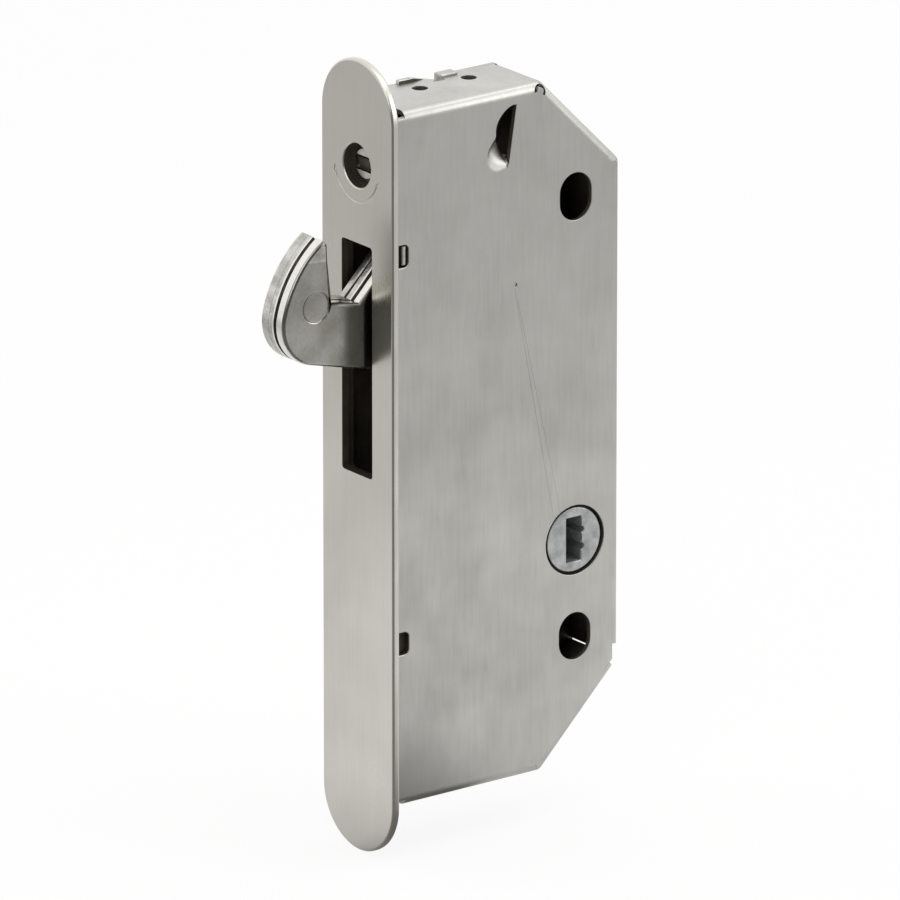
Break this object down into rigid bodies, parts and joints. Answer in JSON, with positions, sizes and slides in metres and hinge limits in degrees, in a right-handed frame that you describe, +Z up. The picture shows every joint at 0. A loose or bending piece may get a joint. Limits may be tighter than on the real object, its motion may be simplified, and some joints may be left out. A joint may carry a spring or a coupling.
{
  "type": "sliding patio door mortise lock",
  "caption": "Mortise lock for a sliding patio door: a laminated hook swings out of a narrow faceplate on a sheet steel case, driven by a slotted hub, with a screw that adjusts its reach.",
  "frame": {"origin": "middle of the faceplate's back face, which lies on the door's edge", "axes": "+X into the door from the faceplate, +Y across the door from the side with the scoop to the far side, +Z up the door's edge"},
  "size_m": [0.0871, 0.0254, 0.1786],
  "materials": {
    "case_sheet": "rolled stainless sheet, satin, lightly handled",
    "plate_satin": "stainless plate, fine lengthwise brushing",
    "inner_sheet": "pressed stainless sheet, dull",
    "turned_steel": "turned stainless pin, smooth",
    "hook_face": "stamped stainless lamination, tumbled faces and bright edges",
    "screw_steel": "machined stainless screw",
    "spring_steel": "spring steel strip",
    "hub_zinc": "grey die-cast zinc, fine grain",
    "bush_bronze": "sintered bronze",
    "nut_brass": "machined brass"
  },
  "bodies": {
    "case": {"case_pan": "case_sheet", "case_cover": "case_sheet", "faceplate": "plate_satin", "front_bracket": "inner_sheet", "screw_retainer": "inner_sheet", "screw_tail_bracket": "inner_sheet", "guide_posts": "turned_steel", "case_spacers": "turned_steel", "hub_bush": "bush_bronze", "detent_spring": "spring_steel", "spring_rivet": "turned_steel"},
    "screw": {"adjusting_screw": "screw_steel", "tail_clip": "spring_steel"},
    "carriage": {"cheek_near": "inner_sheet", "cheek_far": "inner_sheet", "adjuster_nut": "nut_brass", "nut_rivets": "turned_steel", "cheek_spacer": "turned_steel", "hook_pivot_pin": "turned_steel"},
    "hook": {"hook_plate_near": "hook_face", "hook_plate_middle": "hook_face", "hook_plate_far": "hook_face", "hook_rivets": "turned_steel", "hook_drive_pin": "turned_steel"},
    "hub": {"drive_hub": "hub_zinc", "hub_lever": "inner_sheet", "lever_pin": "turned_steel"},
    "link": {"link_bar": "inner_sheet"}
  },
  "joints": [
    {"name": "hub_turn", "type": "hinge", "parent": "case", "child": "hub", "pos_m": [0.0502, 0, -0.0267], "axis": [0, -1, 0], "range_deg": [0, 65]},
    {"name": "screw_turn", "type": "hinge", "parent": "case", "child": "screw", "pos_m": [0.0137, 0, 0.0657], "axis": [1, 0, 0], "range_deg": [-1350, 1350]},
    {"name": "carriage_slide", "type": "slide", "parent": "case", "child": "carriage", "axis": [-1, 0, 0], "range_m": [-0.003, 0.003]},
    {"name": "hook_swing", "type": "hinge", "parent": "carriage", "child": "hook", "pos_m": [0.0205, 0, 0.0505], "axis": [0, -1, 0], "range_deg": [0, 65]},
    {"name": "link_swing", "type": "hinge", "parent": "hub", "child": "link", "pos_m": [0.03883, 0, -0.0244], "axis": [0, 1, 0], "range_deg": [0, 65]}
  ],
  "couplings": [
    {"joint": "screw_turn", "follows": "carriage_slide", "rad_per_m": 7854},
    {"joint": "hook_swing", "follows": "hub_turn", "ratio": 1},
    {"joint": "link_swing", "follows": "hub_turn", "ratio": 1}
  ]
}
